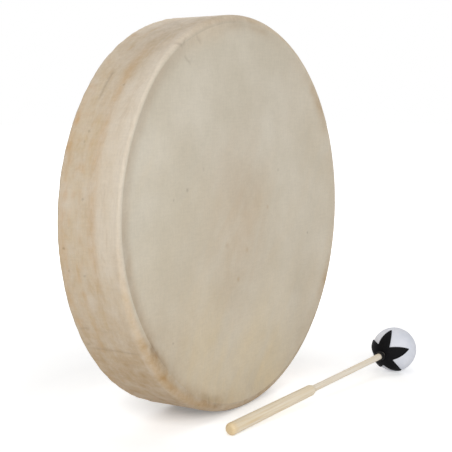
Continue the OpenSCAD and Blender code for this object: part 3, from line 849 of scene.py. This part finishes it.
# bent ash hoop: steamed and planed, pale tan with darker grain running round it, satin from oil
ashLook = {"toneMm": (220, 2.6, 220), "tone": {"Detail": 5.0, "Roughness": 0.6, "Distortion": 0.3},
           "ramp": [(0.38, "#cda876"), (0.7, "#a67b4a")], "bump": (0.2, 0.4),
           "shader": {"IOR": 1.5, "Roughness": 0.5}}
# mild steel ring: drawn wire bent and welded, grey with dull patches and a fine grain
steelLook = {"toneMm": 7, "tone": {"Detail": 5.0}, "ramp": [(0.35, "#6f6f72"), (0.62, "#9a9ca1")],
             "grain": ("TexNoise", 0.9, {"Detail": 2.0}), "bump": (0.1, 0.2), "rough": (0.5, 0.28),
             "shader": {"Metallic": 1.0}}
# wool wadding inside the ball: carded and felted, off-white and dull
woolLook = {"toneMm": 2.5, "tone": {"Detail": 6.0}, "ramp": [(0.35, "#c2b9a6"), (0.7, "#9f957f")],
            "shader": {"Roughness": 0.95}}

finishes = {"frame_hoop": makeSurface("bentAsh", ashLook), "hand_ring": makeSurface("drawnSteel", steelLook),
            "beater_handle": makeSurface("turnedBirch", birchLook),
            "beater_shaft": makeSurface("birchDowel", dowelLook),
            "beater_core": makeSurface("woolWadding", woolLook)}
for nodeName, material in finishes.items():
    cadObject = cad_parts[nodeName]
    cadObject.data.materials.clear()
    cadObject.data.materials.append(material)
print("wood and steel finished")


# white sheepskin leather: fine grained, stretched tight, satin and faintly blue-white
whiteLook = {"toneMm": 14, "tone": {"Detail": 4.0}, "ramp": [(0.35, "#e0e2ea"), (0.7, "#d4d8e2")],
             "grain": ("TexVoronoi", 1.1, {}), "bump": (0.2, 0.2),
             "shader": {"IOR": 1.48, "Roughness": 0.55, "Specular IOR Level": 0.35}}
whiteLeather = makeSurface("whiteSheepskin", whiteLook)
# black sheepskin leather: the same grain, dyed, with soft grey sheen
blackLook = {**whiteLook, "ramp": [(0.35, "#0b0b0e"), (0.7, "#070709")],
             "shader": {"IOR": 1.48, "Roughness": 0.7, "Specular IOR Level": 0.12}}
blackLeather = makeSurface("blackSheepskin", blackLook)


def ballPoint(reach, azimuth, radius):
    # reach is the angle from the neck, azimuth the turn about the shaft, both in radians
    side = radius * sin(reach)
    return beater["length"] - radius * cos(reach), side * cos(azimuth), side * sin(azimuth)


# the ball's cover: rings and points round, and in millimetres its bulges, how far it is drawn in, its foot
cover = {"rings": 72, "around": 96, "bulge": 0.16, "bulgesPerRadius": 2.4, "drawnIn": 0.08, "foot": 1.0}


def buildBall():
    rings, around, radius = cover["rings"], cover["around"], beater["ballRadius"]
    neck = asin(beater["neckRadius"] / radius)
    points = []
    for i in range(rings):
        reach = neck + (pi - neck) * i / rings
        for azimuth in evenSteps(tau, around)[:-1]:
            x, y, z = ballPoint(reach, azimuth, cover["bulgesPerRadius"])
            bulge = cover["bulge"] * noise((x - beater["length"], y, z)) - cover["drawnIn"]
            points.append(ballPoint(reach, azimuth, radius + bulge))
    top, foot = len(points), len(points) + 1
    points.append(ballPoint(pi, 0, radius - cover["drawnIn"]))
    points.append(ballPoint(0, 0, radius - cover["foot"]))
    faces = gridFaces(rings, around)
    lastRing = (rings - 1) * around
    for j in range(around):
        q = (j + 1) % around
        faces.append((lastRing + j, lastRing + q, top))
        faces.append((q, j, foot))
    return points, faces


ball = makePiece("ballCover", buildBall(), beaterPoint, "beater", whiteLeather, 70)
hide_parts("beater_cover")

# the star on the ball: angles in degrees from the neck, lengths in millimetres
star = {"turn": 95.0, "petals": 5, "notch": 29.0, "tip": 75.0, "rise": 1.0, "gap": 0.12, "sunk": 0.3,
        # how the petals narrow, the share of width and length that thins at the edge, and how thin it gets
        "taper": 1.75, "edgeShare": (0.2, 0.08), "edgeHeight": 0.45,
        "across": 12, "ringRows": 5, "petalRows": 16}


def petalRow(i):
    # the angle from the neck and half the width of row i, and how far along the petal it is
    notch, halfStep = radians(star["notch"]), pi / star["petals"]
    inner = asin(beater["neckRadius"] / beater["ballRadius"])
    if i <= star["ringRows"]:
        return inner + (notch - inner) * i / star["ringRows"], halfStep, 0
    t = (i - star["ringRows"]) / star["petalRows"]
    reach = notch + (radians(star["tip"]) - notch) * t
    wide = sin(notch) * sin(halfStep) * (1 - t ** star["taper"])
    return reach, asin(min(1, wide / sin(reach))), t


def buildStar():
    across, ringRows, last = star["across"], star["ringRows"], star["ringRows"] + star["petalRows"]
    sideShare, tipShare = star["edgeShare"]
    edge, radius = star["edgeHeight"], beater["ballRadius"]
    points, faces = [], []
    for petal in range(star["petals"]):
        middle = radians(star["turn"]) + tau * petal / star["petals"]
        top, under = [], []
        for i in range(last + 1):
            reach, half, t = petalRow(i)
            top.append([])
            under.append([])
            for j in range(across + 1):
                share = 2 * j / across - 1
                full = fade(1 - t, 0, tipShare)
                if i > ringRows:
                    full *= fade(1 - abs(share), 0, sideShare)
                lift = star["gap"] + star["rise"] * (edge + (1 - edge) * full)
                for rows, height in ((top, lift), (under, -star["sunk"])):
                    rows[-1].append(len(points))
                    points.append(ballPoint(reach, middle + half * share, radius + height))
        for i in range(last):
            for j in range(across):
                faces.append((top[i][j], top[i][j + 1], top[i + 1][j + 1], top[i + 1][j]))
                faces.append((under[i][j], under[i + 1][j], under[i + 1][j + 1], under[i][j + 1]))
        for i in range(ringRows, last):
            for j in (0, across):
                quad = (top[i][j], top[i + 1][j], under[i + 1][j], under[i][j])
                faces.append(quad[::-1] if j else quad)
        for j in range(across):
            faces.append((top[0][j + 1], top[0][j], under[0][j], under[0][j + 1]))
    return points, faces


starPiece = makePiece("ballStar", buildStar(), beaterPoint, "beater", blackLeather, 60)
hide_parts("beater_star")

# waxed linen thread: spun and drawn through wax, black with a dull shine, its fibres drawn coarser to show
threadLook = {**whiteLook, "ramp": [(0.35, "#0e0d0e"), (0.7, "#151314")], "grain": ("TexVoronoi", 0.5, {}),
              "shader": {"IOR": 1.48, "Roughness": 0.55, "Specular IOR Level": 0.2}}
waxedThread = makeSurface("waxedLinenThread", threadLook)

# how it is wound at the neck, in millimetres
binding = {"thread": 1.4, "pitch": 1.85, "turns": 3, "gap": 0.15, "perTurn": 40, "sides": 10}


def woundThread():
    b = binding
    start = beater["length"] - beater["ballRadius"] - star["rise"] - b["turns"] * b["pitch"] - b["thread"] / 2
    radius = beater["shaftRadius"] + b["thread"] / 2 + b["gap"]
    path = []
    for i in range(b["turns"] * b["perTurn"] + 1):
        g = tau * i / b["perTurn"]
        along = start + b["pitch"] * i / b["perTurn"]
        path.append(Vector((along, radius * cos(g), radius * sin(g))))
    half = b["thread"] / 2
    section = [(half * cos(g), half * sin(g)) for g in evenSteps(tau, b["sides"])[:-1]]
    return sweep(path, [section] * len(path))


threadPiece = makePiece("neckThread", woundThread(), beaterPoint, "beater", waxedThread, 60)
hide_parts("neck_binding")
print("beater covered")

# studio paper: smooth rolled stock, which shows white to the camera and keeps the shadows; in metres
studio = {"paper": "#f4f4f4", "middle": (-0.01, 0.018, 0.0), "reach": 1.1, "half": 6.0, "drop": 0.0002,
          "air": 0.40,
          # how far from the middle, as a share of the reach, and how much the paper glows there; it glows
          # least round the drum's foot, which paints its shadow darker, and more a little way out, which
          # paints out the drum's soft shadow there
          "glow": [(0.037, 0.18), (0.057, 0.34), (0.082, 0.51), (0.109, 0.5), (0.132, 0.42), (0.18, 0.36),
                   (0.25, 0.39), (0.36, 0.45), (1.0, 1.0)]}
white = (1, 1, 1, 1)


def seenDirectly(add):
    path = add("LightPath").outputs
    seen = path["Is Camera Ray"]
    for kind in ("Is Glossy Ray", "Is Transmission Ray"):
        seen = add("Math", {"operation": "MAXIMUM"}, {0: seen, 1: path[kind]})
    return seen


def makeFloor(s):
    material, add, place = startMaterial("studioPaper")
    away = add("VectorMath", {"operation": "DISTANCE", 1: s["middle"]}, {0: place})
    share = add("Math", {"operation": "DIVIDE", 1: s["reach"]}, {0: away})
    rise = add("ValToRGB", {"ramp": [(spot, (v, v, v, 1)) for spot, v in s["glow"]]}, {"Fac": share})
    glow = add("Math", {"operation": "MULTIPLY"}, {0: rise, 1: seenDirectly(add)})
    paper = add("BsdfDiffuse", {"Color": s["paper"]})
    light = add("Emission", {"Color": white}, {"Strength": glow})
    both = add("AddShader", links={0: paper, 1: light})
    add("OutputMaterial", links={"Surface": both})
    h, z = s["half"], -s["drop"]
    mesh = bpy.data.meshes.new("studioFloor")
    mesh.from_pydata([(-h, -h, z), (h, -h, z), (h, h, z), (-h, h, z)], [], [(0, 1, 2, 3)])
    mesh.materials.append(material)
    floor = addObject("studioFloor", mesh)


def makeWorld(s):
    world = bpy.data.worlds.new("studioAir")
    scene.world = world
    world.use_nodes = True
    world.node_tree.nodes.clear()
    add = partial(addNode, world.node_tree)
    strength = add("MapRange", {"span": (0, 1, s["air"], 1.0)}, {"Value": seenDirectly(add)})
    air = add("Background", {"Color": white}, {"Strength": strength})
    add("OutputWorld", links={"Surface": air})


# lamps: place, target and size in metres, power in watts
lamps = {"keySoftbox": ((-1.55, -1.6, 0.9), (0, 0, 0.2), 1.5, 28),
         "topSoftbox": ((-0.3, -0.2, 2.2), (0, 0, 0.0), 1.6, 8),
         "rearSoftbox": ((1.3, 1.7, 1.1), (0, 0, 0.2), 1.5, 13)}


def placeLamps():
    for name, (place, target, size, power) in lamps.items():
        data = bpy.data.lights.new(name, "AREA")
        data.energy = power
        data.size = size
        holder = addObject(name, data)
        holder.location = place
        holder.rotation_euler = (Vector(target) - Vector(place)).to_track_quat("-Z", "Y").to_euler()


makeFloor(studio)
makeWorld(studio)
placeLamps()
print("studio lit")
